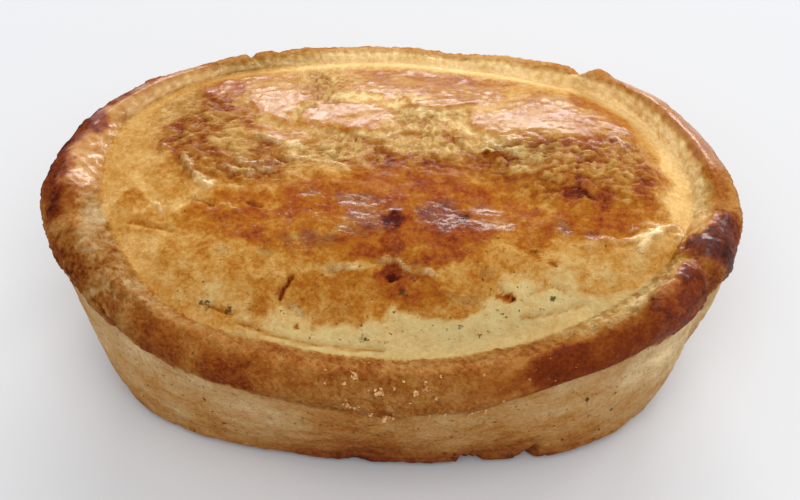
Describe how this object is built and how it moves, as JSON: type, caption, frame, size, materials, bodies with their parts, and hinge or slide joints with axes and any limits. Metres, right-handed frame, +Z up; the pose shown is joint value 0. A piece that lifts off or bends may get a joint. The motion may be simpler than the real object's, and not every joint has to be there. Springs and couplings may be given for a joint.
{
  "type": "pasticciotto",
  "caption": "Oval shortcrust pastry with a flared case, a rolled rim and a low domed lid, browned and glazed on top, uncut.",
  "frame": {"origin": "centre of the flat underside, on the surface it rests on", "axes": "+X along the length, -Y to the front, +Z up"},
  "size_m": [0.102, 0.0696, 0.0326],
  "materials": {
    "crust": null
  },
  "bodies": {
    "root": {"pastry": "crust"}
  },
  "joints": []
}
